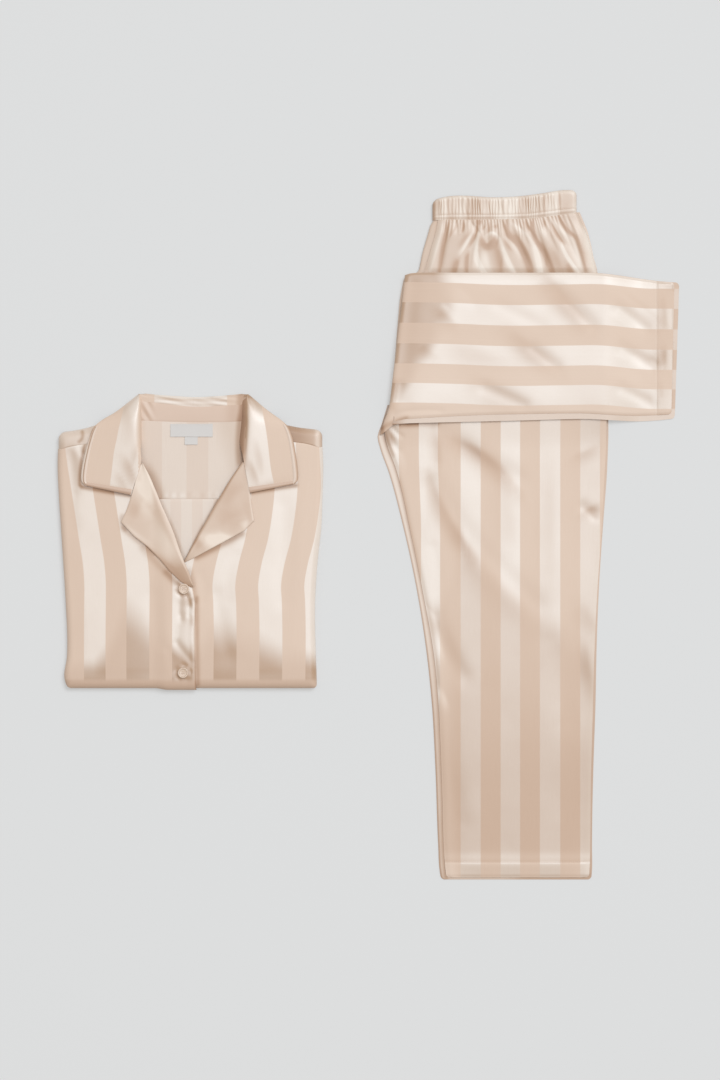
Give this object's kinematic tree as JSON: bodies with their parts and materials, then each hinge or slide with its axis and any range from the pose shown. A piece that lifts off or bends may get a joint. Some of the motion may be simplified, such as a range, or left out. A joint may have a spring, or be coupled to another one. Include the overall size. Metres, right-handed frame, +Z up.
{
  "type": "folded pyjama set",
  "caption": "Folded satin pyjama set lying flat: shirt with notched collar and turned-back lapels, beside trousers with gathered waistband and a leg turned across.",
  "frame": {"origin": "middle of the set's plan box, on the surface that it lies on", "axes": "+Z up off the surface, +Y towards the collar and the waistband, +X from the shirt to the trousers"},
  "size_m": [0.8691, 0.9645, 0.023],
  "materials": {
    "shirt_cloth": "tonal satin and matte stripes, ivory and sand",
    "facing_cloth": "plain satin",
    "button_shell": "pearly sand, soft gloss",
    "label_tape": "plain woven tape, blank",
    "trouser_cloth": "tonal satin and matte stripes, ivory and sand"
  },
  "bodies": {
    "root": {"shirt_folded_layers": "shirt_cloth", "shirt_back": "shirt_cloth", "shirt_back_yoke": "shirt_cloth", "shoulder_yoke_left": "shirt_cloth", "shoulder_yoke_right": "shirt_cloth", "shirt_front_left": "shirt_cloth", "shirt_front_right": "shirt_cloth", "collar_stand": "shirt_cloth", "collar": "shirt_cloth", "lapel_left": "facing_cloth", "lapel_right": "facing_cloth", "collar_edge_left": "facing_cloth", "collar_edge_right": "facing_cloth", "button_top": "button_shell", "button_bottom": "button_shell", "neck_label": "label_tape", "size_tab": "label_tape", "trouser_folded_layers": "trouser_cloth", "waistband": "trouser_cloth", "hip_front": "trouser_cloth", "leg_turned_back": "trouser_cloth", "leg_turned_front": "trouser_cloth", "leg_lower_back": "trouser_cloth", "leg_lower_front": "trouser_cloth"}
  },
  "joints": []
}
